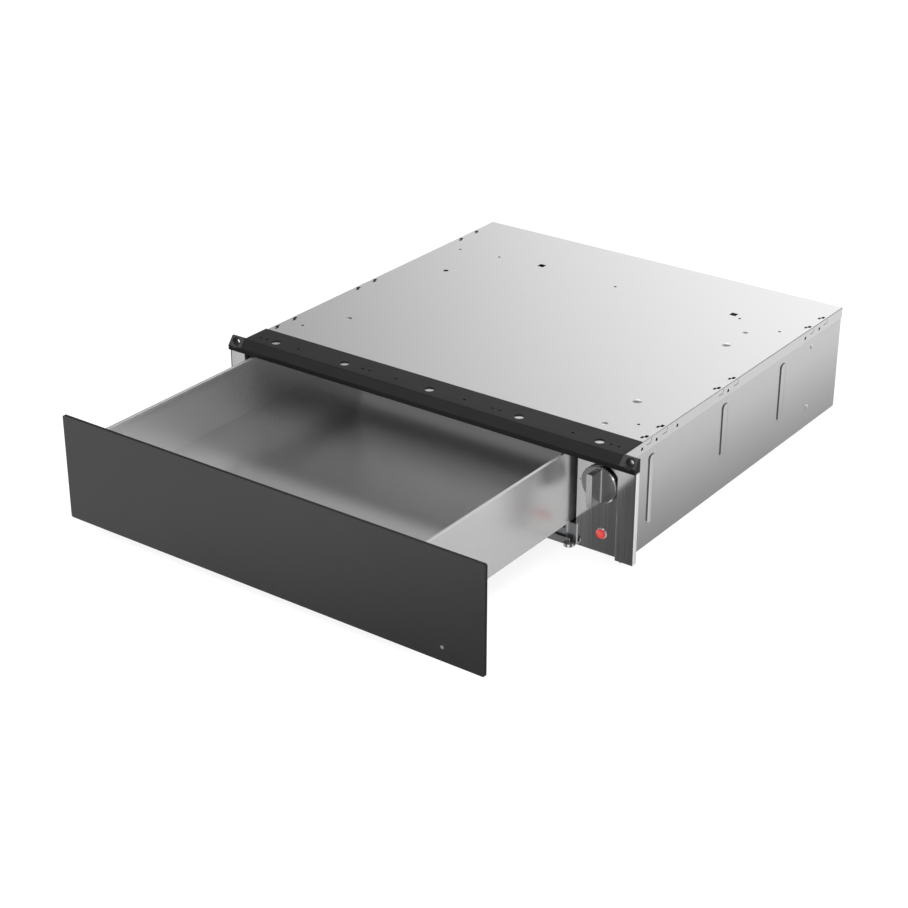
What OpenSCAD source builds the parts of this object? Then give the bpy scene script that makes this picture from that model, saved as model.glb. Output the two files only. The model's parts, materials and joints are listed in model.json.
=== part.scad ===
// Built-in warming drawer: a shallow sheet steel casing that slides into a
// kitchen niche, with a wide drawer on three-member runners under its floor,
// a dark glass front, a recessed control panel and a fan heater behind a
// bulkhead.
// Frame: origin at the bottom of the casing on its centre line, in the plane
// where the front frame seats against the cabinet; +Z up, +Y into the niche,
// +X towards the control panel. The drawer is drawn part open.

/* [Casing] */
// Overall width of the casing over the cover's side bands
casing_w = 555.6; // [553.6:0.2:556]
// Height of the casing to the top of the cover
casing_h = 140; // [139.5:0.1:141]
// Depth from the seat plane to the back face of the casing
casing_d = 537; // [534:0.5:545]
// Sheet steel thickness
sheet = 1; // [0.9:0.05:1]
// Depth of the cover's folded bands
band_h = 14; // [10:0.5:16]

/* [Front] */
// Width of the glass front
glass_w = 597; // [594:0.5:598]
// Height of the glass front
glass_h = 132.3; // [130:0.1:133]
// Thickness of the glass front
glass_t = 4; // [3:0.5:5]
// Height of the lower edge of the glass
glass_z = 8.6; // [7:0.1:10]
// Width over the two screw ears
ears_w = 596.8; // [594:0.2:598]
// Distance between the two ear screws
ear_pitch = 578.8; // [576:0.2:580]
// Height of the ear screws
ear_z = 134.9; // [134:0.1:135.5]

/* [Drawer] */
// How far the drawer stands open in this drawing
opened = 278; // [278:1:278]
// Outer face of the left drawer wall
wall_l = -262.4; // [-263:0.1:-260]
// Outer face of the right drawer wall
wall_r = 203.6; // [202:0.1:208]
// Length of the drawer box
drawer_len = 497.4; // [480:0.1:497.4]
// Height of the drawer rim above the base
rim_z = 122.4; // [110:0.1:123]
// Height of the lower edge of the drawer walls
skirt_z = 28.6; // [28:0.1:30]
// Height of the drawer floor's upper face
floor_z = 51.3; // [51.3:0.1:51.3]
// Width of the folded rim
hem_w = 4; // [3:0.5:5]

/* [Runners] */
// Length of each runner member
runner_len = 450; // [440:1:455]
// Centre of the right runner
runner_xr = 186; // [185:0.5:191]
// Centre of the left runner
runner_xl = -244.7; // [-245:0.1:-243]

/* [Controls] */
// Radius of the knob
knob_r = 23.3; // [20:0.1:24]
// Centre of the knob, across
knob_x = 240.7; // [240:0.1:246]
// Centre of the knob, height
knob_z = 88; // [84:0.5:92]
// Height of the pilot lamp
lamp_z = 24.8; // [22:0.1:30]
// Centre of the pilot lamp, across
lamp_x = 244.2; // [240:0.1:246]
// Depth of the control panel behind the seat plane
panel_y = 12; // [12:0.5:12]

/* [Fan] */
// Side of the square fan frame
fan_w = 80; // [80:1:80]
// Number of impeller blades
blades = 7; // [5:1:9]

/* [Hidden] */

steel = [0.78, 0.78, 0.77];
dark = [0.16, 0.16, 0.17];
black = [0.08, 0.08, 0.08];
bright = [0.86, 0.86, 0.86];

cx = casing_w / 2;            // outer face of the side bands
sx = cx - sheet;              // outer face of the side panels
ix = sx - sheet;              // inner face of the side panels
plate_z = casing_h - sheet;   // underside of the cover plate
back_y = casing_d - sheet;    // front face of the cover's back band
carrier_y = -13.4 - opened;   // back face of the glass carrier
front_y = carrier_y - sheet - glass_t;
drawer_y = carrier_y;         // front of the drawer box
drawer_b = drawer_y + drawer_len; // back of the drawer box
floor_lo = floor_z - 1;
fan_x = -30;
fan_z = 70;
bulk_y = 488;                 // front face of the rear bulkhead
part_x = 210.2;               // left face of the partition
cable_x = 240;
cable_z = 40;
latch_x = 150;
latch_z = 38;
rise = 1.4;                   // thickness of the front rail over the cover

// ---------------------------------------------------------------- helpers
module box(x0, y0, z0, x1, y1, z1)
  translate([x0, y0, z0]) cube([x1 - x0, y1 - y0, z1 - z0]);

module rod_y(x, z, y0, y1, r, f = 48)
  translate([x, y0, z]) rotate([-90, 0, 0]) cylinder(r = r, h = y1 - y0, $fn = f);

module rod_x(y, z, x0, x1, r, f = 48)
  translate([x0, y, z]) rotate([0, 90, 0]) cylinder(r = r, h = x1 - x0, $fn = f);

module rod_z(x, y, z0, z1, r, f = 48)
  translate([x, y, z0]) cylinder(r = r, h = z1 - z0, $fn = f);

// A round bar from one point to another
module bar(a, b, r) {
  d = b - a;
  l = norm(d);
  translate(a) rotate([0, acos(d[2] / l), atan2(d[1], d[0])])
    cylinder(r = r, h = l, $fn = 24);
}

// Round bars along a list of points with a slightly fatter ball at each bend
module route(pts, r) {
  for (i = [0 : len(pts) - 2]) bar(pts[i], pts[i + 1], r);
  for (i = [1 : len(pts) - 2]) translate(pts[i]) sphere(r = r * 1.12, $fn = 48);
}

// A profile drawn as [y, z] points, extruded along X
module along_x(pts, x0, x1)
  translate([x0, 0, 0]) rotate([90, 0, 90])
    linear_extrude(height = x1 - x0) polygon(pts);

module mirrored() {
  children();
  mirror([1, 0, 0]) children();
}

// ---------------------------------------------------------------- casing
module base_pan() color(steel) {
  difference() {
    union() {
      box(-sx, 4.5, 0, part_x + 1, back_y, sheet);
      box(-sx, panel_y, 0, sx, back_y, sheet);
      // front lip, and the rounded tongue at its right end
      box(-262, 4.5, 0, 206, 5.5, 9);
      intersection() {
        rod_z(205, 4.5, 0, 4, 6);
        box(195, -4, 0, 215, 5, 4);
      }
      // upstands along the sides, inside the side panels
      box(-ix, 45, 0, -ix + sheet, back_y - 6, 11);
      box(ix - sheet, 45, 0, ix, back_y - 6, 11);
    }
    for (i = [0 : 7]) box(-150 + 38 * i, 380, -1, -124 + 38 * i, 383.5, 2);
    for (i = [0 : 7]) box(-150 + 38 * i, 392, -1, -124 + 38 * i, 395.5, 2);
    for (x = [runner_xl, runner_xr], y = [60, 230, 420]) rod_z(x, y, -1, 2, 2.5);
  }
}

// A pressed rib: a shallow bead that stands proud of the outer face
module rib(y, z0, z1) {
  for (z = [z0, z1])
    translate([sx - 0.4, y, z]) rotate([0, 90, 0]) cylinder(r1 = 7.3, r2 = 5.6, h = 1.7, $fn = 64);
  translate([sx - 0.4, y, z0]) linear_extrude(height = z1 - z0)
    polygon([[0, -7.3], [1.7, -5.6], [1.7, 5.6], [0, 7.3]]);
}

module side_panel_right() color(steel) difference() {
  union() {
    box(ix, 2, sheet, sx, back_y - sheet, plate_z);
    rib(62, 32.5, 110.3);
    rib(231, 50.5, 110.3);
    rib(378, 41.5, 110.3);
  }
  for (z = [28, 112.6]) rod_x(455, z, ix - 1, sx + 2, 2);
}

module side_panel_left() mirror([1, 0, 0]) side_panel_right();

module back_panel() color(steel) difference() {
  box(-sx, back_y - sheet, sheet, sx, back_y, plate_z);
  for (x = [-215, 90], i = [0 : 7])
    box(x, back_y - 3, 34 + 10 * i, x + 90, back_y + 1, 38 + 10 * i);
  rod_y(cable_x, cable_z, back_y - 3, back_y + 1, 8);
  for (x = [-240, 0, 240]) rod_y(x, 132.5, back_y - 3, back_y + 1, 1.9);
}

slit_y = [51.5, 85.9, 216.2, 252.1, 449.4, 486.9];

// Z-shaped clip slit in the cover, and the tongue cut in the band beside it
module clip_cut(y) {
  box(271.2, y - 0.4, plate_z - 1, 275.2, y + 6, casing_h + 1);
  box(268.8, y - 4.8, plate_z - 1, 272, y + 1, casing_h + 1);
  // tongue outline: down the rear edge, round, and forward
  box(sx - 1, y + 6, casing_h - 4.5, cx + 1, y + 6.8, plate_z - 0.6);
  box(sx - 1, y - 4, casing_h - 7.3, cx + 1, y + 3.8, casing_h - 6.5);
  intersection() {
    box(sx - 1, y + 3.8, casing_h - 7.4, cx + 1, y + 6.9, casing_h - 4.5);
    difference() {
      rod_x(y + 3.8, casing_h - 4.3, sx - 2, cx + 2, 3);
      rod_x(y + 3.8, casing_h - 4.3, sx - 3, cx + 3, 2.2);
    }
  }
}

// A shallow round dimple of radius 4
module dimple(x, y, depth) {
  r = (16 + depth * depth) / (2 * depth);
  translate([x, y, casing_h - depth + r]) sphere(r = r, $fn = 96);
}

// A shallow round boss of radius 6
module boss(x, y, h) {
  r = (36 + h * h) / (2 * h);
  intersection() {
    translate([x, y, casing_h + h - r]) sphere(r = r, $fn = 96);
    rod_z(x, y, plate_z + 0.3, casing_h + 2, 6, 64);
  }
}

module top_cover() color(bright) difference() {
  union() {
    box(-cx, 1, plate_z, cx, casing_d, casing_h);
    box(-cx, 1, casing_h - band_h, -sx, casing_d, casing_h);
    box(sx, 1, casing_h - band_h, cx, casing_d, casing_h);
    box(-cx, back_y, casing_h - band_h, cx, casing_d, casing_h);
    box(-cx, 1, casing_h - band_h, cx, 2, casing_h);
    boss(214.5, 130, 0.8);
    boss(216.2, 339, 0.8);
  }
  for (p = [[-249.2, 416.6], [-188, 424], [0.4, 424], [-249.4, 75.7],
            [249.2, 76.3], [188, 424], [249.8, 415.6]])
    rod_z(p[0], p[1], plate_z - 1, casing_h + 1, 1.9);
  rod_z(-216.7, 338.8, plate_z - 1, casing_h + 1, 3.5);
  for (p = [[-122.2, 431.3], [175.1, 432]])
    box(p[0] - 4.5, p[1] - 4.5, plate_z - 1, p[0] + 4.5, p[1] + 4.5, casing_h + 1);
  dimple(-215.8, 128.5, 0.8);
  dimple(217, 385.9, 0.8);
  dimple(217, 55.6, 0.8);
  mirrored() {
    for (y = slit_y) clip_cut(y);
    for (y = [37.6, 69.3, 115.5, 234.6, 433.1, 471.4])
      rod_x(y, 131.9, sx - 1, cx + 1, 2.2);
  }
  for (x = [-240, 0, 240]) rod_y(x, 132.5, back_y - 1, casing_d + 1, 1.9);
}

// Black trim rail over the front of the cover, with a screw ear at each end
rail_profile = [[38, casing_h], [38, casing_h + rise - 0.4],
  [37.6, casing_h + rise], [-3.4, casing_h + rise],
  [-4.1, casing_h + rise - 0.3], [-11.3, 131.1], [-11.5, 130.5],
  [-11.5, 124.7], [-9.5, 124.7], [-9.5, 130], [-2.8, casing_h]];
ear_profile = [[0, 124.7], [0, 140.6], [-0.4, 141], [-2.9, 141],
  [-3.6, 140.7], [-11.3, 131.1], [-11.5, 130.5], [-11.5, 124.7]];

module front_rail() color(dark) difference() {
  union() {
    along_x(rail_profile, -cx, cx);
    along_x(ear_profile, 268, ears_w / 2);
    along_x(ear_profile, -ears_w / 2, -268);
  }
  for (x = [-238.3, -128.8, 0, 128.8, 238.3])
    rod_z(x, 10.6, casing_h - 1, casing_h + rise + 1, 6.25, 64);
  for (x = [263.3, 253.2, 202, 101.2, 90.9, 50.8], s = [-1, 1])
    rod_z(s * x, 11.2, casing_h - 1, casing_h + rise + 1, 1.7);
  for (s = [-1, 1]) {
    rod_y(s * ear_pitch / 2, ear_z, -20, -3, 6.2, 64);
    rod_y(s * ear_pitch / 2, ear_z, -20, 2, 2.75);
  }
}

module flange_right() color(steel) {
  box(ix - sheet, -8, glass_z - 0.2, glass_w / 2, -7, 124.4);
  box(glass_w / 2 - sheet, -8, glass_z - 0.2, glass_w / 2, 0, 124.4);
  box(ix - sheet, -8, glass_z - 0.2, ix, 40, 124.4);
}

module flange_left() mirror([1, 0, 0]) flange_right();

module control_panel() color(steel) difference() {
  box(part_x - 1, panel_y, sheet, ix - sheet, panel_y + 1, plate_z);
  rod_y(knob_x, knob_z, panel_y - 1, panel_y + 2, 5.1);
  rod_y(lamp_x, lamp_z, panel_y - 1, panel_y + 2, 6);
}

module partition() color(steel) difference() {
  union() {
    box(part_x, panel_y + 1, sheet, part_x + 1, bulk_y + 1, plate_z);
    box(part_x, panel_y + 1, sheet, part_x + 11, bulk_y + 1, 2 * sheet);
    box(part_x, panel_y + 1, plate_z - sheet, part_x + 11, bulk_y + 1, plate_z);
  }
  for (i = [0 : 9]) box(part_x - 1, 120 + 12 * i, 60, part_x + 2, 124 + 12 * i, 100);
}

module rear_bulkhead() color(steel) difference() {
  box(-ix, bulk_y, sheet, part_x, bulk_y + 1, plate_z);
  // corner cut round the upstand of the base
  box(-ix - 1, bulk_y - 1, 0, -ix + sheet, bulk_y + 2, 11);
  // air outlet: rings of holes in front of the fan
  for (k = [1 : 4], i = [0 : 6 * k - 1])
    translate([fan_x, 0, fan_z]) rotate([0, i * 60 / k, 0])
      rod_y(7.8 * k, 0, bulk_y - 1, bulk_y + 2, 2.6, 24);
  // air return
  for (x = [-200, 60], i = [0 : 7])
    box(x, bulk_y - 1, 32 + 10 * i, x + 50, bulk_y + 2, 36 + 10 * i);
  rod_y(latch_x, latch_z, bulk_y - 1, bulk_y + 2, 4.5);
}

// ---------------------------------------------------------------- controls
module knob_bezel() color(black) difference() {
  rod_y(knob_x, knob_z, panel_y - 0.8, panel_y, knob_r - 0.7, 96);
  rod_y(knob_x, knob_z, panel_y - 2, panel_y + 1, 7);
}

module thermostat() color([0.85, 0.83, 0.78]) difference() {
  union() {
    box(knob_x - 20, panel_y + 1, knob_z - 20, knob_x + 20, panel_y + 3, knob_z + 20);
    box(knob_x - 18, panel_y + 3, knob_z - 15, knob_x + 18, panel_y + 31, knob_z + 15);
    rod_y(knob_x, knob_z, panel_y - 0.7, panel_y + 2, 5);
    for (dx = [-11, 11], dz = [-8, 8])
      box(knob_x + dx - 3.15, panel_y + 30, knob_z + dz - 0.4,
          knob_x + dx + 3.15, panel_y + 39, knob_z + dz + 0.4);
  }
  rod_y(knob_x, knob_z, panel_y - 3, panel_y + 20, 3.05);
}

module capillary_bulb() color([0.72, 0.45, 0.25]) {
  route([[knob_x - 18, panel_y + 25, 95], [218, panel_y + 25, 95],
         [218, panel_y + 25, 118], [218, bulk_y + 6, 118],
         [170, bulk_y + 6, 118]], 1);
  rod_x(bulk_y + 6, 118, 90, 170, 3);
}

module lamp_bezel() color(bright) difference() {
  rod_y(lamp_x, lamp_z, panel_y - 1.5, panel_y, 6.7, 64);
  rod_y(lamp_x, lamp_z, panel_y - 3, panel_y + 1, 5.75, 64);
}

module lamp_lens() color([0.85, 0.16, 0.16]) intersection() {
  rod_y(lamp_x, lamp_z, panel_y - 4, panel_y + 2, 5.75, 64);
  union() {
    box(lamp_x - 8, panel_y - 2.2, lamp_z - 8, lamp_x + 8, panel_y + 2, lamp_z + 8);
    translate([lamp_x, panel_y - 3 + 21.06, lamp_z]) sphere(r = 21.06, $fn = 128);
  }
}

module lamp_body() color([0.9, 0.9, 0.88]) difference() {
  union() {
    rod_y(lamp_x, lamp_z, panel_y, panel_y + 28, 6, 64);
    for (dx = [-3, 3])
      box(lamp_x + dx - 0.4, panel_y + 27, lamp_z - 2.4,
          lamp_x + dx + 0.4, panel_y + 35, lamp_z + 2.4);
  }
  rod_y(lamp_x, lamp_z, panel_y - 1, panel_y + 2, 5.75, 64);
}

// ---------------------------------------------------------------- runners
module runner_fixed(x) color(steel) difference() {
  union() {
    box(x - 13, 8, sheet, x + 13, 8 + runner_len, 2.5);
    for (s = [-1, 1]) {
      box(x + (s < 0 ? -13 : 11.5), 8, sheet, x + (s < 0 ? -11.5 : 13), 8 + runner_len, 27);
      box(x + (s < 0 ? -13 : 5), 8, 25.5, x + (s < 0 ? -5 : 13), 8 + runner_len, 27);
    }
    // stop plate that holds the glides at full extension
    box(x - 13, 8, sheet, x + 13, 9.5, 19);
  }
  for (y = [60, 230, 420]) rod_z(x, y, 0, 3, 2.5);
}
module runner_fixed_left() runner_fixed(runner_xl);
module runner_fixed_right() runner_fixed(runner_xr);

mid_y = 8 - opened / 2;   // front end of the middle members

module middle_profile(x, y0, y1) {
  box(x - 7, y0, 21, x + 7, y1, 23);
  box(x - 1.5, y0, 21, x + 1.5, y1, 43);
  box(x - 9.8, y0, 41, x + 9.8, y1, 43);
}
module runner_middle(x) color(steel) middle_profile(x, mid_y, mid_y + runner_len);
module runner_middle_left() runner_middle(runner_xl);
module runner_middle_right() runner_middle(runner_xr);

module glides(x) color([0.93, 0.93, 0.9]) difference() {
  union() {
    for (y = [204, 426]) box(x - 11.3, mid_y + y, 2.7, x + 11.3, mid_y + y + 20, 25.3);
    for (y = [4, 226]) box(x - 11.3, mid_y + y, 32.7, x + 11.3, mid_y + y + 20, 48.6);
  }
  middle_profile(x, mid_y - 1, mid_y + runner_len + 1);
}
module glides_left() glides(runner_xl);
module glides_right() glides(runner_xr);

module runner_top(x) color(steel) {
  y0 = 8 - opened;
  box(x - 13, y0, floor_lo - 1.5, x + 13, y0 + runner_len, floor_lo);
  for (s = [-1, 1]) {
    box(x + (s < 0 ? -13 : 11.5), y0, 31, x + (s < 0 ? -11.5 : 13), y0 + runner_len, floor_lo);
    box(x + (s < 0 ? -13 : 5), y0, 31, x + (s < 0 ? -5 : 13), y0 + runner_len, 32.5);
  }
}
module runner_top_left() runner_top(runner_xl);
module runner_top_right() runner_top(runner_xr);

// Angle brackets from the fixed members to the casing side and the partition
module runner_brackets() color(steel) {
  box(runner_xr + 13, 10.5, sheet, runner_xr + 14.5, 34, 27);
  box(runner_xr + 13, 10.5, sheet, part_x + 1, panel_y, 27);
  box(runner_xr + 13, 440, sheet, part_x, 450, 20);
  difference() {
    union() {
      box(-ix, 60, sheet, runner_xl - 13, 61.5, 35);
      difference() {
        box(-ix, 445, sheet, runner_xl - 13, 465, 36);
        box(-ix + 1.5, 444, 2.5, runner_xl, 463.5, 37);
      }
    }
    rod_x(455, 28, -ix - 1, -ix + 5, 2);
    // clear of the upstand of the base and of the drawer's wall
    box(-ix - 1, 45, 0, -ix + sheet, back_y, 11);
    box(wall_l - 2, 45, 27, runner_xl, back_y, 40);
  }
}

// ---------------------------------------------------------------- rear gear
module fan_frame() color(black) difference() {
  h = fan_w / 2;
  union() {
    difference() {
      box(fan_x - h, 504, fan_z - h, fan_x + h, 529, fan_z + h);
      rod_y(fan_x, fan_z, 503, 530, 38, 96);
    }
    rod_y(fan_x, fan_z, 525, 529, 16, 64);
    for (a = [45, 135, 225, 315])
      translate([fan_x, 0, fan_z]) rotate([0, a, 0]) box(14, 526, -2, 39.5, 529, 2);
    // standoffs to the bulkhead
    for (dx = [-35.75, 35.75], dz = [-35.75, 35.75])
      rod_y(fan_x + dx, fan_z + dz, bulk_y + 1, 504.5, 3);
  }
  rod_y(fan_x, fan_z, 524, 530, 1.55);
}

module fan_impeller() color([0.12, 0.12, 0.13]) {
  difference() {
    rod_y(fan_x, fan_z, 506, 524, 16, 64);
    difference() {
      rod_y(fan_x, fan_z, 508, 525, 13.5, 64);
      rod_y(fan_x, fan_z, 507, 526, 4, 32);
    }
  }
  rod_y(fan_x, fan_z, 509, 528.5, 1.5, 32);
  translate([fan_x, 515, fan_z])
    for (i = [0 : blades - 1]) rotate([0, i * 360 / blades, 0])
      intersection() {
        translate([15, 0, 0]) rotate([38, 0, 0]) translate([0, -0.6, -10]) cube([24, 1.2, 20]);
        rotate([90, 0, 0]) cylinder(r = 36.8, h = 15, center = true, $fn = 96);
      }
}

hx0 = -130;
hx1 = 70;
module u_bend(x, z0, z1, s) {
  translate([x, bulk_y + 9, (z0 + z1) / 2]) rotate([90, 0, 0])
    intersection() {
      rotate_extrude($fn = 48) translate([(z1 - z0) / 2, 0]) circle(r = 3.2, $fn = 32);
      translate([s > 0 ? 0 : -20, -20, -20]) cube([20, 40, 40]);
    }
}
module heating_element() color([0.35, 0.33, 0.32]) {
  for (z = [46, 62, 78, 94]) rod_x(bulk_y + 9, z, hx0, hx1, 3.2, 32);
  u_bend(hx1, 46, 62, 1);
  u_bend(hx0, 62, 78, -1);
  u_bend(hx1, 78, 94, 1);
  for (z = [46, 94]) rod_x(bulk_y + 9, z, hx0 - 14, hx0, 1.5, 24);
}

module heater_bracket() color(steel) for (x = [-118, 54]) difference() {
  union() {
    box(x, bulk_y + 1, 38, x + 1, bulk_y + 14, 102);
    box(x, bulk_y + 1, 38, x + 9, bulk_y + 2, 102);
  }
  for (z = [46, 62, 78, 94]) rod_x(bulk_y + 9, z, x - 1, x + 2, 3.2, 32);
}

module thermal_cutout() color([0.2, 0.2, 0.2]) {
  rod_y(145, 84, bulk_y + 1, bulk_y + 9, 8);
  box(133, bulk_y + 1, 81, 157, bulk_y + 2, 87);
  for (dx = [-5, 5])
    box(145 + dx - 0.4, bulk_y + 8, 81, 145 + dx + 0.4, bulk_y + 17, 87);
}

module terminal_block() color([0.92, 0.92, 0.9]) difference() {
  union() {
    box(216, 500, sheet, 266, 520, 12);
    for (i = [0 : 4]) box(217 + 9.8 * i, 502, 12, 225.6 + 9.8 * i, 518, 18);
  }
  for (i = [0 : 4]) rod_z(221.3 + 9.8 * i, 510, 9, 19, 2);
}

module cable_gland() color(black) difference() {
  union() {
    rod_y(cable_x, cable_z, back_y, back_y + 4, 12.5, 6);
    rod_y(cable_x, cable_z, back_y, back_y + 12, 10, 48);
    rod_y(cable_x, cable_z, back_y - 8, back_y + 1, 8, 48);
    rod_y(cable_x, cable_z, back_y - 6, back_y - sheet, 12.5, 6);
  }
  rod_y(cable_x, cable_z, back_y - 10, back_y + 14, 4.2);
}

module wiring_loom() color([0.75, 0.75, 0.72]) {
  route([[245, 500, 8], [245, 486, 8], [264, 486, 8], [264, 60, 8],
         [264, 60, 84], [256, 60, 84], [256, panel_y + 31, 84]], 2.5);
  route([[264, 60, lamp_z], [lamp_x, 60, lamp_z],
         [lamp_x, panel_y + 28, lamp_z]], 1.6);
}

module latch_body() color([0.88, 0.88, 0.86]) difference() {
  box(latch_x - 12, bulk_y + 1, latch_z - 10, latch_x + 12, bulk_y + 28, latch_z + 10);
  rod_y(latch_x, latch_z, bulk_y, bulk_y + 25, 4.05);
}

module latch_plunger() color(black) {
  tip = drawer_b + opened + 0.4;
  rod_y(latch_x, latch_z, tip, bulk_y + 18, 4);
}

// ---------------------------------------------------------------- fasteners
module side_rivets() color(bright) mirrored() for (z = [28, 112.6]) {
  rod_x(455, z, ix, sx + 0.5, 2);
  difference() {
    rod_x(455, z, sx, sx + 0.4, 3.3);
    rod_x(455, z, sx - 1, sx + 1, 1.9);
  }
  translate([sx + 0.4, 455, z]) rotate([0, 90, 0])
    cylinder(r1 = 3.3, r2 = 2.1, h = 0.45, $fn = 48);
}

module runner_rivets() color(bright)
  for (x = [runner_xl, runner_xr], y = [60, 230, 420]) rod_z(x, y, 0, 2.5, 2.5);

module cover_screws() color(bright) for (x = [-240, 0, 240]) difference() {
  union() {
    rod_y(x, 132.5, back_y - 6, casing_d, 1.9);
    rod_y(x, 132.5, casing_d, casing_d + 2, 3.8);
  }
  translate([x, 0, 132.5]) for (a = [0, 90]) rotate([0, a, 0])
    box(-2.4, casing_d + 1, -0.5, 2.4, casing_d + 3, 0.5);
}

screw_pts = [[-230, 90], [-230, 65], [0, 100], [0, 65], [175, 90], [175, 65]];
module front_screws() color(bright) for (p = screw_pts) difference() {
  union() {
    rod_y(p[0], p[1], carrier_y - sheet, carrier_y + 1, 2);
    rod_y(p[0], p[1], carrier_y + 1, carrier_y + 3.2, 3.8);
  }
  translate([p[0], 0, p[1]]) for (a = [0, 90]) rotate([0, a, 0])
    box(-2.4, carrier_y + 2, -0.5, 2.4, carrier_y + 4, 0.5);
}

// ---------------------------------------------------------------- drawer
module drawer_floor() color(steel)
  box(wall_l + 1, drawer_y + 1, floor_lo, wall_r - 1, drawer_b - 1, floor_z);

// A side wall with its rim folded inwards and down
module drawer_side(x, s) color(steel) {
  y1 = drawer_b;
  box(min(x, x + s), drawer_y, skirt_z, max(x, x + s), y1, rim_z);
  box(min(x, x + s * hem_w), drawer_y + 1, rim_z - 1, max(x, x + s * hem_w), y1 - 1, rim_z);
  box(min(x + s * (hem_w - 1), x + s * hem_w), drawer_y + 1, rim_z - 4,
      max(x + s * (hem_w - 1), x + s * hem_w), y1 - 1, rim_z);
}
module drawer_side_left() drawer_side(wall_l, 1);
module drawer_side_right() drawer_side(wall_r, -1);

module drawer_back() color(steel) {
  difference() {
    box(wall_l + 1, drawer_b - 1, skirt_z, wall_r - 1, drawer_b, rim_z);
    // notches over the runners
    for (x = [runner_xl, runner_xr])
      box(x - 13.5, drawer_b - 2, skirt_z - 1, x + 13.5, drawer_b + 1, floor_lo);
  }
  box(wall_l + hem_w, drawer_b - hem_w, rim_z - 1, wall_r - hem_w, drawer_b, rim_z);
  box(wall_l + hem_w, drawer_b - hem_w, rim_z - 4, wall_r - hem_w, drawer_b - hem_w + 1, rim_z);
}

module drawer_front_wall() color(steel) difference() {
  box(wall_l + 1, drawer_y, skirt_z, wall_r - 1, drawer_y + 1, rim_z);
  for (p = screw_pts) rod_y(p[0], p[1], drawer_y - 1, drawer_y + 2, 2);
}

module glass_carrier() color(dark) difference() {
  box(-292, carrier_y - sheet, 14, 292, carrier_y, 135);
  for (p = screw_pts) rod_y(p[0], p[1], carrier_y - 3, carrier_y + 2, 2);
  rod_y(244.5, 25.6, carrier_y - 3, carrier_y + 2, 4);
}

module front_glass() color([0.22, 0.22, 0.23]) {
  w = glass_w / 2;
  z0 = glass_z;
  z1 = glass_z + glass_h;
  r = 2.5;
  difference() {
    translate([0, front_y + glass_t, 0]) rotate([90, 0, 0]) linear_extrude(height = glass_t)
      union() {
        translate([-w, z0 + r]) square([2 * w, z1 - z0 - 2 * r]);
        translate([-w + r, z0]) square([2 * w - 2 * r, z1 - z0]);
        for (x = [-w + r, w - r], z = [z0 + r, z1 - r])
          translate([x, z]) circle(r = r, $fn = 32);
      }
    rod_y(244.5, 25.6, front_y - 1, front_y + glass_t + 1, 2.1);
  }
}

module pilot_window() color([0.85, 0.85, 0.87])
  rod_y(244.5, 25.6, front_y + 0.1, front_y + glass_t, 2.1);

module bumpers() color(black) for (x = [-288, 288], z = [30, 110])
  rod_y(x, z, carrier_y, carrier_y + 5, 5);

// ---------------------------------------------------------------- knob
module knob_body() color(black) difference() {
  rod_y(knob_x, knob_z, 8.2, 10.9, knob_r, 96);
  rod_y(knob_x, knob_z, 7, 12, 3);
}

module knob_cap() color(bright) difference() {
  union() {
    translate([knob_x, 8.2, knob_z]) rotate([90, 0, 0])
      cylinder(r1 = knob_r, r2 = knob_r - 1.2, h = 1.2, $fn = 96);
    // grip bar with rounded corners
    translate([knob_x, 7.2, knob_z]) rotate([90, 0, 0]) linear_extrude(height = 19.8)
      union() {
        square([7.6, 39], center = true);
        square([4.6, 42], center = true);
        for (x = [-2.3, 2.3], z = [-19.5, 19.5]) translate([x, z]) circle(r = 1.5, $fn = 32);
      }
  }
  rod_y(knob_x, knob_z, -1, 9, 3);
}

module thermostat_shaft() color(steel) rod_y(knob_x, knob_z, -1, 30, 3);

// ---------------------------------------------------------------- drawing
base_pan();
side_panel_left();
side_panel_right();
back_panel();
top_cover();
front_rail();
flange_left();
flange_right();
control_panel();
partition();
rear_bulkhead();
knob_bezel();
thermostat();
capillary_bulb();
lamp_bezel();
lamp_lens();
lamp_body();
runner_fixed_left();
runner_fixed_right();
runner_brackets();
fan_frame();
heating_element();
heater_bracket();
thermal_cutout();
terminal_block();
cable_gland();
wiring_loom();
latch_body();
side_rivets();
runner_rivets();
cover_screws();
runner_middle_left();
runner_middle_right();
glides_left();
glides_right();
drawer_floor();
drawer_side_left();
drawer_side_right();
drawer_back();
drawer_front_wall();
glass_carrier();
front_glass();
pilot_window();
runner_top_left();
runner_top_right();
bumpers();
front_screws();
knob_body();
knob_cap();
thermostat_shaft();
fan_impeller();
latch_plunger();
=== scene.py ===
import json
import math

import bmesh
import bpy
from mathutils import Matrix, Vector


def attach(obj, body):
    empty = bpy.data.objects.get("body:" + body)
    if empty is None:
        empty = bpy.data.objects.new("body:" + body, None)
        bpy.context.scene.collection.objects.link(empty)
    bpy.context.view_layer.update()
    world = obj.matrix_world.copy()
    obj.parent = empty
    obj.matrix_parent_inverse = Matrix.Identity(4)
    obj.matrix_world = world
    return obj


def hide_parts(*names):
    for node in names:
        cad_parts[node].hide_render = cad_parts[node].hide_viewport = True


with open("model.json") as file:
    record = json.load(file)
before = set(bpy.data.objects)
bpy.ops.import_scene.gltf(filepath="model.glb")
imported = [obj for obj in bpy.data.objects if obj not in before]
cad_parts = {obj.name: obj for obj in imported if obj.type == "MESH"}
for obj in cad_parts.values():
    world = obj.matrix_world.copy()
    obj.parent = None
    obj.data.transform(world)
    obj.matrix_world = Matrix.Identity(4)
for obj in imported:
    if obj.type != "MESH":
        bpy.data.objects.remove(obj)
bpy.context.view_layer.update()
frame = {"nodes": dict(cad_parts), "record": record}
nodes = frame["nodes"]


scene = bpy.context.scene


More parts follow.
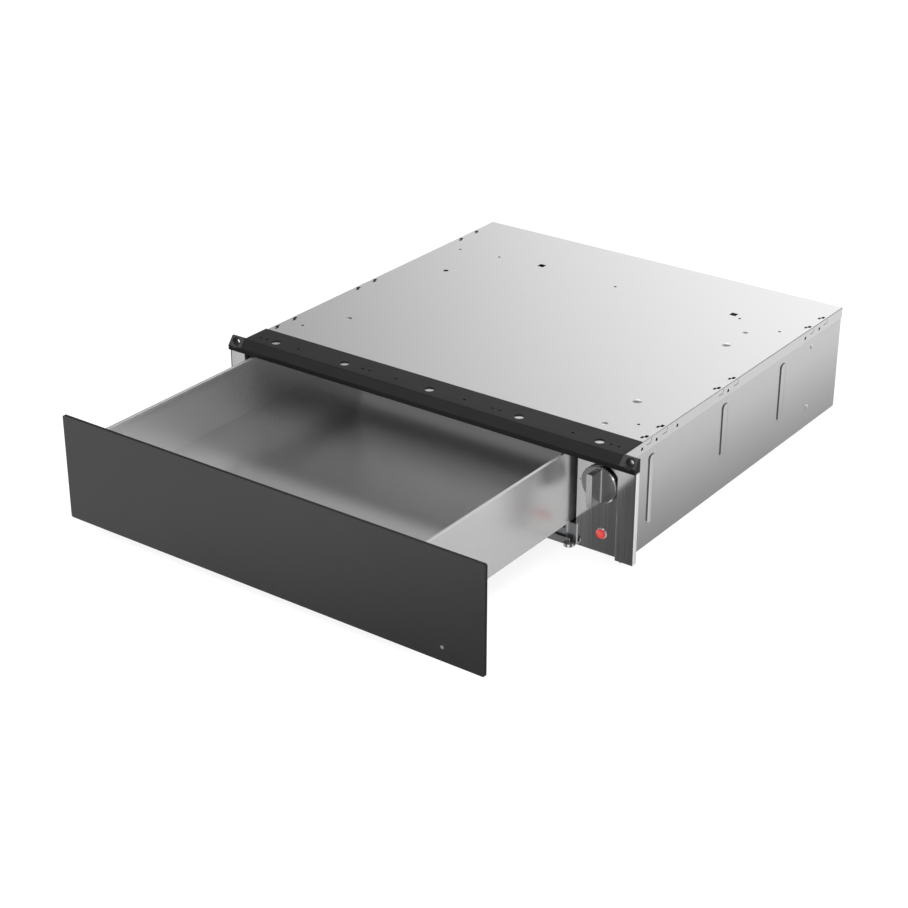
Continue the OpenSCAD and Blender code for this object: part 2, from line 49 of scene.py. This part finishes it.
# ------------------------------------------------------------------ materials
def start(name):
    m = bpy.data.materials.new(name)
    m.use_nodes = True
    nt = m.node_tree
    nt.nodes.clear()
    out = nt.nodes.new("ShaderNodeOutputMaterial")
    bs = nt.nodes.new("ShaderNodeBsdfPrincipled")
    nt.links.new(bs.outputs["BSDF"], out.inputs["Surface"])
    return m, nt, bs


def coords(nt, scale=(1, 1, 1)):
    tc = nt.nodes.new("ShaderNodeTexCoord")
    mp = nt.nodes.new("ShaderNodeMapping")
    mp.inputs["Scale"].default_value = scale
    nt.links.new(tc.outputs["Object"], mp.inputs["Vector"])
    return mp.outputs["Vector"]


def noise(nt, vec, scale, detail=2.0, rough=0.5):
    n = nt.nodes.new("ShaderNodeTexNoise")
    n.inputs["Scale"].default_value = scale
    n.inputs["Detail"].default_value = detail
    n.inputs["Roughness"].default_value = rough
    nt.links.new(vec, n.inputs["Vector"])
    return n.outputs["Fac"]


def spread(nt, fac, lo, hi, a=0.3, b=0.7):
    r = nt.nodes.new("ShaderNodeMapRange")
    r.inputs["From Min"].default_value = a
    r.inputs["From Max"].default_value = b
    r.inputs["To Min"].default_value = lo
    r.inputs["To Max"].default_value = hi
    nt.links.new(fac, r.inputs["Value"])
    return r.outputs["Result"]


def two_tone(nt, fac, c0, c1):
    x = nt.nodes.new("ShaderNodeMix")
    x.data_type = "RGBA"
    x.inputs["A"].default_value = (*c0, 1)
    x.inputs["B"].default_value = (*c1, 1)
    nt.links.new(fac, x.inputs["Factor"])
    return x.outputs["Result"]


def shade(c, k):
    return tuple(min(1.0, max(0.0, v * k)) for v in c)


def material(name, color, rough, metal=0.0, mottle=0.05, mottle_scale=9.0,
             grain=None, grain_scale=900.0, bump=0.05, bump_dist=0.00004,
             rough_var=0.05, spec=0.5, coat=0.0, ior=1.45, streak=0.45):
    """A surface whose tone and gloss wander a little, with a fine grain that is drawn out along one axis."""
    m, nt, bs = start(name)
    base = coords(nt)
    broad = noise(nt, base, mottle_scale, 3.0)
    stretch = {None: (1, 1, 1), "x": (0.012, 1, 1), "y": (1, 0.012, 1), "z": (1, 1, 0.012)}[grain]
    fine = noise(nt, coords(nt, stretch), grain_scale, 2.0, 0.6)
    mix = nt.nodes.new("ShaderNodeMath")
    mix.operation = "MULTIPLY_ADD"
    nt.links.new(fine, mix.inputs[0])
    mix.inputs[1].default_value = streak
    nt.links.new(broad, mix.inputs[2])
    mid = 0.5 + 0.5 * streak
    half = 0.20 + 0.22 * streak
    tone = spread(nt, mix.outputs[0], 0.0, 1.0, mid - half, mid + half)
    color_out = two_tone(nt, tone, shade(color, 1 - mottle), shade(color, 1 + mottle))
    nt.links.new(color_out, bs.inputs["Base Color"])
    nt.links.new(spread(nt, mix.outputs[0], rough - rough_var, rough + rough_var, mid - half, mid + half),
                 bs.inputs["Roughness"])
    bs.inputs["Metallic"].default_value = metal
    bs.inputs["Specular IOR Level"].default_value = spec
    bs.inputs["IOR"].default_value = ior
    bs.inputs["Coat Weight"].default_value = coat
    bs.inputs["Coat Roughness"].default_value = 0.08
    if bump > 0:
        bp = nt.nodes.new("ShaderNodeBump")
        bp.inputs["Strength"].default_value = bump
        bp.inputs["Distance"].default_value = bump_dist
        nt.links.new(fine, bp.inputs["Height"])
        nt.links.new(bp.outputs["Normal"], bs.inputs["Normal"])
    return m


M = {
    "steel_sheet": material("steel_sheet", (0.60, 0.60, 0.597), 0.17, 1.0, 0.015, 7, None, 120, 0.0,
                            rough_var=0.01, streak=0.2),
    "steel_cover": material("steel_cover", (0.745, 0.745, 0.75), 0.24, 1.0, 0.010, 5, None, 120, 0.0,
                            rough_var=0.006, streak=0.2),
    "drawer_steel": material("drawer_steel", (0.63, 0.63, 0.63), 0.27, 0.78, 0.012, 6, None, 60, 0.0,
                             rough_var=0.004, spec=0.6, streak=0.2),
    # painted light: a lighter, more diffuse copy of the drawer steel for the back wall, standing in for light bounced
    # about in the drawer
    "drawer_back": material("drawer_back", (0.80, 0.80, 0.80), 0.42, 0.15, 0.012, 6, None, 60, 0.0,
                            rough_var=0.004, spec=0.6, streak=0.2),
    "drawer_floor": material("drawer_floor", (0.53, 0.53, 0.53), 0.17, 0.84, 0.012, 6, None, 60, 0.0,
                             rough_var=0.004, spec=0.6, streak=0.2),
    "stainless_trim": material("stainless_trim", (0.66, 0.66, 0.655), 0.12, 1.0, 0.10, 8, "z", 800, 0.03,
                               rough_var=0.03, streak=1.8),
    "runner_steel": material("runner_steel", (0.60, 0.61, 0.62), 0.34, 1.0, 0.05, 20, None, 500, 0.05),
    "black_trim": material("black_trim", (0.0060, 0.0060, 0.0065), 0.44, 0.0, 0.10, 30, None, 1400, 0.15,
                           0.00006, spec=0.20),
    "black_knob": material("black_knob", (0.010, 0.010, 0.010), 0.22, 0.0, 0.10, 30, None, 900, 0.05, spec=0.5),
    "knob_metal": material("knob_metal", (0.60, 0.60, 0.605), 0.24, 1.0, 0.03, 40, "z", 1500, 0.06),
    # painted shade and painted highlight: a darker and a brighter copy of the knob metal
    "knob_painted_shade": material("knob_painted_shade", (0.30, 0.30, 0.305), 0.30, 1.0, 0.04, 40, "z", 1500, 0.05),
    "knob_painted_highlight": material("knob_painted_highlight", (0.86, 0.86, 0.86), 0.16, 0.85, 0.02, 60, None, 1500, 0.0),
    # painted shade: a dark copy of the sheet steel for fold rounds, rib slopes and flange bends
    "bend_painted_shade": material("bend_painted_shade", (0.20, 0.20, 0.20), 0.38, 0.9, 0.05, 30, "y", 900, 0.0),
    # painted highlight: a bright copy of the steel for the flanges' outer edges
    "edge_painted_highlight": material("edge_painted_highlight", (0.92, 0.92, 0.92), 0.22, 0.75, 0.02, 60, None, 1500, 0.0),
    "dimple_shade": material("dimple_shade", (0.30, 0.30, 0.30), 0.30, 1.0, 0.03, 60, None, 900, 0.0),
    # painted shade: a darker, duller black for the ears' front faces
    "ear_black_painted_shade": material("ear_black_painted_shade", (0.004, 0.004, 0.0045), 0.50, 0.0, 0.10, 40, None, 1400, 0.15,
                          0.00006, spec=0.12),
    "glass_edge": material("glass_edge", (0.006, 0.006, 0.006), 0.35, 0.0, 0.1, 40, None, 900, 0.0, spec=0.2),
    # painted shade: a near-black sheet for cut faces, slits and counterbores
    "cut_painted_shade": material("cut_painted_shade", (0.035, 0.035, 0.035), 0.55, 0.3, 0.1, 60, None, 1500, 0.0),
    "lamp_rim": material("lamp_rim", (0.80, 0.79, 0.78), 0.14, 1.0, 0.03, 60, None, 900, 0.03),
    "pale_plastic": material("pale_plastic", (0.76, 0.74, 0.69), 0.42, 0.0, 0.03, 20, None, 900, 0.1),
    "copper": material("copper", (0.72, 0.40, 0.26), 0.28, 1.0, 0.08, 40, "y", 900, 0.05),
    "heater_sheath": material("heater_sheath", (0.16, 0.145, 0.135), 0.48, 0.7, 0.18, 45, None, 900, 0.1),
    "wire_sleeve": material("wire_sleeve", (0.60, 0.59, 0.56), 0.75, 0.0, 0.12, 60, None, 1600, 0.5, 0.0002),
    "fastener": material("fastener", (0.70, 0.70, 0.70), 0.28, 1.0, 0.05, 60, None, 1200, 0.06),
    "dark_carrier": material("dark_carrier", (0.030, 0.030, 0.031), 0.40, 0.0, 0.08, 25, None, 1300, 0.2),
    "rubber": material("rubber", (0.020, 0.020, 0.020), 0.72, 0.0, 0.1, 40, None, 1200, 0.3, 0.0001),
}


def glass_material():
    """Grey tinted glass with a dark backing: a dark body under a polished face."""
    m, nt, bs = start("dark_glass")
    base = coords(nt)
    broad = noise(nt, base, 2.2, 2.0)
    nt.links.new(two_tone(nt, spread(nt, broad, 0, 1, 0.35, 0.65), (0.022, 0.022, 0.023), (0.026, 0.026, 0.027)),
                 bs.inputs["Base Color"])
    nt.links.new(spread(nt, noise(nt, base, 30, 2.0), 0.05, 0.09), bs.inputs["Roughness"])
    bs.inputs["Specular IOR Level"].default_value = 0.5
    bs.inputs["IOR"].default_value = 1.5
    return m


def lens_material():
    """Moulded red lens: deeper at the rim, lighter where the lamp stands behind it."""
    m, nt, bs = start("red_lens")
    tc = nt.nodes.new("ShaderNodeTexCoord")
    sub = nt.nodes.new("ShaderNodeVectorMath")
    sub.operation = "DISTANCE"
    nt.links.new(tc.outputs["Object"], sub.inputs[0])
    sub.inputs[1].default_value = (0.2442, 0.0095, 0.0248)
    glow = spread(nt, sub.outputs["Value"], 1.0, 0.0, 0.0010, 0.0056)
    nt.links.new(two_tone(nt, glow, (0.55, 0.020, 0.022), (0.95, 0.10, 0.09)), bs.inputs["Base Color"])
    nt.links.new(spread(nt, noise(nt, coords(nt), 700, 2.0), 0.12, 0.22), bs.inputs["Roughness"])
    bs.inputs["Coat Weight"].default_value = 0.5
    bs.inputs["Emission Color"].default_value = (1.0, 0.10, 0.09, 1)
    bs.inputs["Emission Strength"].default_value = 0.35
    return m


def window_material():
    m, nt, bs = start("clear_window")
    nt.links.new(two_tone(nt, spread(nt, noise(nt, coords(nt), 900, 2.0), 0, 1), (0.16, 0.16, 0.165), (0.24, 0.24, 0.25)),
                 bs.inputs["Base Color"])
    nt.links.new(spread(nt, noise(nt, coords(nt), 300, 2.0), 0.08, 0.16), bs.inputs["Roughness"])
    return m


def painted_shade_side_material():
    """Sheet steel with painted shade: near black in the overlap under the cover's side bands, where the slits and
    holes show it, and a little darker towards the bottom.
    """
    m = material("steel_side_painted_shade", (0.60, 0.60, 0.597), 0.17, 1.0, 0.012, 7, None, 120, 0.0, rough_var=0.01, streak=0.2)
    nt = m.node_tree
    bs = next(n for n in nt.nodes if n.type == "BSDF_PRINCIPLED")
    sep = nt.nodes.new("ShaderNodeSeparateXYZ")
    tc = nt.nodes.new("ShaderNodeTexCoord")
    nt.links.new(tc.outputs["Object"], sep.inputs[0])
    # painted shade: the base colour is darkened towards the bottom of the sheet
    foot_painted_shade = nt.nodes.new("ShaderNodeMix")
    foot_painted_shade.data_type = "RGBA"
    foot_painted_shade.blend_type = "MULTIPLY"
    nt.links.new(spread(nt, sep.outputs["Z"], 0.22, 0.0, 0.0, 0.095), foot_painted_shade.inputs["Factor"])
    nt.links.new(bs.inputs["Base Color"].links[0].from_socket, foot_painted_shade.inputs["A"])
    foot_painted_shade.inputs["B"].default_value = (0.0, 0.0, 0.0, 1)
    old = foot_painted_shade.outputs["Result"]
    # painted shade: near black where the sheet lies under the cover's side bands
    x = nt.nodes.new("ShaderNodeMix")
    x.data_type = "RGBA"
    nt.links.new(spread(nt, sep.outputs["Z"], 0.0, 1.0, 0.1261, 0.1264), x.inputs["Factor"])
    nt.links.new(old, x.inputs["A"])
    x.inputs["B"].default_value = (0.05, 0.05, 0.05, 1)
    nt.links.new(x.outputs["Result"], bs.inputs["Base Color"])
    return m


M["steel_side_painted_shade"] = painted_shade_side_material()
# the back wall stands in the deepest part of the drawer: a painted glow on it stands in for the light thrown about in
# there
back_glow_bs = next(n for n in M["drawer_back"].node_tree.nodes if n.type == "BSDF_PRINCIPLED")
back_glow_bs.inputs["Emission Color"].default_value = (0.95, 0.95, 0.95, 1)
back_glow_bs.inputs["Emission Strength"].default_value = 0.15
M["dark_glass"] = glass_material()
M["red_lens"] = lens_material()
M["clear_window"] = window_material()

slot_of = {s["node"]: s["material_slot"] for s in frame["record"]["subparts"]}
body_of = {n: b for b, ns in frame["record"]["behaviour"]["bodies"].items() for n in ns}
for name, ob in nodes.items():
    ob.data.materials.clear()
    ob.data.materials.append(M[slot_of[name]])
nodes["drawer_floor"].data.materials[0] = M["drawer_floor"]


# ------------------------------------------------------- softened copies of nodes
def soften(node, width, segs=3, min_len=0.003, angle=28.0, keep=None, extra=(), paint=None, bend=-1,
           base=None):
    """A copy of a node's mesh with real rounded edges, shown in the node's place."""
    src = nodes[node]
    bm = bmesh.new()
    bm.from_mesh(src.data)
    bmesh.ops.remove_doubles(bm, verts=bm.verts, dist=2e-6)
    bmesh.ops.dissolve_limit(bm, angle_limit=math.radians(0.3), verts=bm.verts, edges=bm.edges)
    pick = []
    for e in bm.edges:
        if len(e.link_faces) != 2 or e.calc_length() < min_len:
            continue
        if math.degrees(e.calc_face_angle(0.0)) < angle:
            continue
        if keep and not keep(e.verts[0].co, e.verts[1].co):
            continue
        pick.append(e)
    if width > 0:
        bmesh.ops.bevel(bm, geom=pick, offset=width, offset_type="OFFSET", segments=segs,
                        profile=0.5, affect="EDGES", clamp_overlap=True, material=bend)
    if paint:
        bm.normal_update()
        for f in bm.faces:
            k = paint(f.calc_center_median(), f.normal)
            if k is not None and (bend < 0 or f.material_index != bend):
                f.material_index = k
    me = bpy.data.meshes.new(node + "_soft")
    bm.to_mesh(me)
    bm.free()
    for p in me.polygons:
        p.use_smooth = True
    me.set_sharp_from_angle(angle=math.radians(36))
    me.materials.append(M[base or slot_of[node]])
    for e in extra:
        me.materials.append(M[e])
    ob = bpy.data.objects.new(node + "_soft", me)
    scene.collection.objects.link(ob)
    wn = ob.modifiers.new("normals", "WEIGHTED_NORMAL")
    wn.keep_sharp = True
    wn.weight = 80
    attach(ob, body_of[node])
    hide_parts(node)
    return ob


def fold_edge(a, b):
    """The long fold lines of the cover: along its sides, its back and its front."""
    side = abs(abs(a.x) - 0.2778) < 1e-4 and abs(abs(b.x) - 0.2778) < 1e-4
    top = a.z > 0.1399 and b.z > 0.1399
    back = a.y > 0.5368 and b.y > 0.5368
    return (side and (top or back)) or (top and back)




def glass_rim(c, n):
    return 1 if abs(n.y) < 0.5 else None


soften("front_glass", 0.0008, 2, 0.0002, extra=("glass_edge",), paint=glass_rim, bend=1)


def cover_cuts(c, n):
    """The cut faces of the clip slits and of the tongues beside them, which get painted shade."""
    if 0.2680 < abs(c.x) < 0.2756 and abs(n.z) < 0.7 and 0.1385 < c.z:
        return 2
    if abs(c.x) > 0.2762 and abs(n.x) < 0.5 and 0.1290 < c.z < 0.1397 and 0.005 < c.y < 0.534:
        return 2
    if abs(n.z) < 0.3 and 0.139 < c.z < 0.14 and abs(c.x) < 0.26 and 0.004 < c.y < 0.530:
        return 2
    # slopes of the dimples and bosses that look back towards the front right get painted shade
    if 0.5 < n.z < 0.9985 and c.z > 0.1385 and 0.20 < abs(c.x) < 0.23 and 0.588 * n.x - 0.809 * n.y > 0.035:
        return 3
    return None


def rib_slope(c, n):
    """The front and upper slopes of the pressed ribs, which get painted shade."""
    if abs(c.x) < 0.27682 or c.z > 0.125 or abs(n.x) < 0.3 or abs(n.x) > 0.95 or n.z < -0.05:
        return None
    if n.y < -0.3 or n.z > 0.12:
        return 1
    return None


def screw_recess(c, n):
    """Painted shade inside the deep counterbores in the ears, and painted shade on the flat faces round them."""
    if math.hypot(abs(c.x) - 0.2894, c.z - 0.1349) < 0.00628 and c.y > -0.012:
        return 1
    # the ears' front faces get a darker black as painted shade
    return 2 if abs(c.x) > 0.2800 and n.y < -0.5 else None


def flange_edges(c, n):
    """The flange's outer edge gets a painted highlight, the round before it painted shade."""
    if abs(c.x) > 0.29845 and abs(n.x) > 0.9:
        return 1
    if abs(c.x) > 0.2970 and 0.15 < abs(n.x) < 0.9 and n.y < -0.3:
        return 2
    return None


def cap_faces(c, n):
    """Grip front face in the plain knob metal; painted shade on the grip sides and the disc's front face, painted
    highlight on the rim and the rest.
    """
    if n.y < -0.9 and c.y < -0.0120:
        return None
    if c.y < 0.0068 or (n.y < -0.97 and 0.0068 < c.y < 0.0074):
        return 1
    return 2


# the cover's fold rounds, cut faces and dimple slopes get painted shade
soften("top_cover", 0.0007, 2, 0.0010, keep=fold_edge, extra=("bend_painted_shade", "cut_painted_shade", "dimple_shade"), paint=cover_cuts, bend=1)
soften("flange_right", 0.0005, 2, extra=("edge_painted_highlight", "bend_painted_shade"), paint=flange_edges)
soften("flange_left", 0.0005, 2, extra=("edge_painted_highlight", "bend_painted_shade"), paint=flange_edges)
soften("drawer_side_right", 0.0005, 3)
soften("drawer_side_left", 0.0005, 3)
soften("drawer_back", 0.0004, 2, base="drawer_back")
soften("front_rail", 0.0004, 2, 0.0024, extra=("cut_painted_shade", "ear_black_painted_shade"), paint=screw_recess)
# the side panels take the sheet steel with painted shade
soften("side_panel_right", 0.0, extra=("bend_painted_shade",), paint=rib_slope, base="steel_side_painted_shade")
soften("side_panel_left", 0.0, extra=("bend_painted_shade",), paint=rib_slope, base="steel_side_painted_shade")
soften("control_panel", 0.0004, 2)
soften("knob_cap", 0.0005, 3, 0.0004, 26, extra=("knob_painted_shade", "knob_painted_highlight"), paint=cap_faces)
soften("knob_body", 0.0005, 3, 0.0004, 26)
soften("lamp_bezel", 0.0004, 3, 0.0002, 40)
soften("glass_carrier", 0.0003, 2)
soften("latch_body", 0.0006, 2, 0.002)
soften("thermostat", 0.0005, 2, 0.003)
soften("terminal_block", 0.0004, 2, 0.003)
soften("fan_frame", 0.0006, 2, 0.003)


# -------------------------------------------------------------- small new pieces
def disc(name, centre, radius, thick, mat, body, axis="y", segs=32):
    bm = bmesh.new()
    bmesh.ops.create_cone(bm, cap_ends=True, segments=segs, radius1=radius, radius2=radius * 0.9, depth=thick)
    if axis == "y":
        bmesh.ops.rotate(bm, verts=bm.verts, cent=(0, 0, 0), matrix=Matrix.Rotation(math.radians(90), 3, "X"))
    bmesh.ops.translate(bm, verts=bm.verts, vec=Vector(centre))
    me = bpy.data.meshes.new(name)
    bm.to_mesh(me)
    bm.free()
    me.materials.append(mat)
    ob = bpy.data.objects.new(name, me)
    scene.collection.objects.link(ob)
    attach(ob, body)
    return ob


disc("dial_index_dot", (0.2134, 0.01195, 0.086), 0.0009, 0.0002, M["black_knob"], "casing")


def slab(name, lo, hi, mat, body, soft=0.0001):
    bm = bmesh.new()
    bmesh.ops.create_cube(bm, size=1.0)
    lo, hi = Vector(lo), Vector(hi)
    for v in bm.verts:
        v.co = Vector(lo[i] + (v.co[i] + 0.5) * (hi[i] - lo[i]) for i in range(3))
    bmesh.ops.bevel(bm, geom=list(bm.edges), offset=soft, segments=2, profile=0.5, affect="EDGES")
    me = bpy.data.meshes.new(name)
    bm.to_mesh(me)
    bm.free()
    me.materials.append(mat)
    ob = bpy.data.objects.new(name, me)
    scene.collection.objects.link(ob)
    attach(ob, body)
    return ob


# painted highlight: a bright strip at the grip's right root, standing in for the fillet's highlight
slab("grip_painted_highlight_line", (0.2444, 0.0064, 0.0670), (0.2453, 0.0072, 0.1090), M["knob_painted_highlight"], "knob")
# painted shade: thin dark strips laid on each flange's inner bend
for s in (-1, 1):
    a, b = sorted((s * 0.2964, s * 0.2979))
    slab("flange_shade_" + ("right" if s > 0 else "left"), (a, -0.00805, 0.0095), (b, -0.0079, 0.1238),
         M["bend_painted_shade"], "casing", 0.00002)


# ------------------------------------------------------------------ stage
def floor_material():
    """A pale floor that stays near white where the camera sees it, with a faint soft shadow."""
    m, nt, bs = start("studio_floor")
    fac = noise(nt, coords(nt), 1.3, 2.0)
    nt.links.new(two_tone(nt, spread(nt, fac, 0, 1), (0.90, 0.90, 0.90), (0.92, 0.92, 0.92)), bs.inputs["Base Color"])
    bs.inputs["Roughness"].default_value = 0.85
    bs.inputs["Specular IOR Level"].default_value = 0.2
    white = nt.nodes.new("ShaderNodeEmission")
    white.inputs["Color"].default_value = (1, 1, 1, 1)
    white.inputs["Strength"].default_value = 1.10
    eye = nt.nodes.new("ShaderNodeMixShader")
    eye.inputs["Fac"].default_value = 0.78
    nt.links.new(bs.outputs["BSDF"], eye.inputs[1])
    nt.links.new(white.outputs[0], eye.inputs[2])
    path = nt.nodes.new("ShaderNodeLightPath")
    first = nt.nodes.new("ShaderNodeMixShader")
    nt.links.new(path.outputs["Is Camera Ray"], first.inputs["Fac"])
    nt.links.new(bs.outputs["BSDF"], first.inputs[1])
    nt.links.new(eye.outputs[0], first.inputs[2])
    out = next(n for n in nt.nodes if n.type == "OUTPUT_MATERIAL")
    nt.links.new(first.outputs[0], out.inputs["Surface"])
    return m


bm = bmesh.new()
bmesh.ops.create_grid(bm, x_segments=1, y_segments=1, size=9.0)
bmesh.ops.translate(bm, verts=bm.verts, vec=Vector((0, 1.5, -0.0006)))
me = bpy.data.meshes.new("studio_floor")
bm.to_mesh(me)
bm.free()
me.materials.append(floor_material())
floor = bpy.data.objects.new("studio_floor", me)
scene.collection.objects.link(floor)
floor.visible_glossy = False      # polished sheet mirrors the studio round it, not the floor

# ------------------------------------------------------------------ light
world = bpy.data.worlds.new("studio")
scene.world = world
world.use_nodes = True
wt = world.node_tree
wt.nodes.clear()
w_out = wt.nodes.new("ShaderNodeOutputWorld")
w_bg = wt.nodes.new("ShaderNodeBackground")
wt.links.new(w_bg.outputs[0], w_out.inputs[0])
w_tc = wt.nodes.new("ShaderNodeTexCoord")


def along(direction, lo, hi, a, b):
    d = wt.nodes.new("ShaderNodeVectorMath")
    d.operation = "DOT_PRODUCT"
    wt.links.new(w_tc.outputs["Generated"], d.inputs[0])
    d.inputs[1].default_value = direction
    r = wt.nodes.new("ShaderNodeMapRange")
    r.interpolation_type = "SMOOTHSTEP"
    r.inputs["From Min"].default_value = lo
    r.inputs["From Max"].default_value = hi
    r.inputs["To Min"].default_value = a
    r.inputs["To Max"].default_value = b
    wt.links.new(d.outputs["Value"], r.inputs["Value"])
    return r.outputs["Result"]




def calc(op, a, b):
    n = wt.nodes.new("ShaderNodeMath")
    n.operation = op
    for i, v in enumerate((a, b)):
        if isinstance(v, (int, float)):
            n.inputs[i].default_value = v
        else:
            wt.links.new(v, n.inputs[i])
    return n.outputs[0]


def blend(fac, a, b):
    """a where fac is 0, b where it is 1."""
    return calc("ADD", calc("MULTIPLY", calc("SUBTRACT", 1.0, fac), a), calc("MULTIPLY", fac, b))


# above the horizon: bright behind and to the right, darker to the left and overhead
side = along((0.809, 0.588, 0.0), -0.24, 0.24, 0.34, 1.53)
high = along((0.0, 0.0, 1.0), 0.22, 0.60, 1.0, 0.50)
front = calc("MULTIPLY", along((0.0, -1.0, 0.0), 0.35, 0.80, 0.0, 1.0), along((0.0, 0.0, 1.0), 0.20, 0.33, 1.0, 0.0))
aside = along((0.707, -0.707, 0.0), 0.30, 0.80, 1.0, 0.58)
sky = blend(front, calc("MULTIPLY", calc("MULTIPLY", side, high), aside), 0.95)
# below it: a dark wall front left, a bright one front right, a middle one behind
right = along((1.0, 0.0, 0.0), -0.12, 0.12, 0.0, 1.0)
back = along((0.0, 1.0, 0.0), -0.10, 0.10, 0.0, 1.0)
rim = along((0.70, 0.0, 1.0), -0.152, -0.126, 0.33, 1.08)
edge = along((1.0, 0.0, 0.0), 0.66, 0.76, 0.0, 1.0)
front_left = calc("ADD", 0.10, calc("MULTIPLY", along((-1.0, 0.66, 0.0), -0.012, 0.030, 0.0, 1.0),
                                    along((0.0, 0.0, 1.0), -0.545, -0.450, -0.06, 0.60)))
low = blend(right, blend(back, front_left, 0.45), blend(edge, blend(back, 1.10, rim), 0.18))
ground = along((0.0, 0.0, 1.0), -0.03, 0.03, 0.0, 1.0)
w_path = wt.nodes.new("ShaderNodeLightPath")
wt.links.new(blend(w_path.outputs["Is Camera Ray"], blend(ground, low, sky), 1.08), w_bg.inputs["Strength"])
w_bg.inputs["Color"].default_value = (1.0, 1.0, 1.0, 1)


def area(name, place, target, size, power, colour=(1, 1, 1)):
    ld = bpy.data.lights.new(name, "AREA")
    ld.shape = "RECTANGLE"
    ld.size, ld.size_y = size
    ld.energy = power
    ld.color = colour
    ob = bpy.data.objects.new(name, ld)
    ob.location = place
    ob.rotation_euler = (Vector(target) - Vector(place)).to_track_quat("-Z", "Y").to_euler()
    scene.collection.objects.link(ob)
    return ob


area("overhead", (0.3, -0.2, 2.6), (0.0, 0.1, 0.0), (3.2, 3.2), 75)
low_light = area("front_low", (-0.35, -2.6, 0.63), (-0.03, 0.2, 0.08), (1.7, 0.36), 20)
low_light.visible_glossy = False
area("front_left", (-1.6, -2.4, 1.8), (0.0, 0.0, 0.1), (2.0, 1.6), 26)

scene.view_settings.view_transform = "Standard"
scene.view_settings.look = "None"
scene.view_settings.exposure = 0.0
scene.view_settings.gamma = 1.0

# ------------------------------------------------------------------ camera
cam_data = bpy.data.cameras.new("camera")
cam_data.sensor_width = 36.0
cam_data.sensor_fit = "HORIZONTAL"
cam_data.lens = 80.76
cam_data.clip_start = 0.05
cam_data.clip_end = 60.0
cam = bpy.data.objects.new("camera", cam_data)
az, el, roll = math.radians(36.05), math.radians(26.20), math.radians(0.08)
look = Vector((-math.sin(az) * math.cos(el), math.cos(az) * math.cos(el), -math.sin(el)))
cam.location = (1.31670, -1.74872, 1.13709)
cam.rotation_euler = (look.to_track_quat("-Z", "Y").to_matrix() @ Matrix.Rotation(roll, 3, "Z")).to_euler()
scene.collection.objects.link(cam)
scene.camera = cam
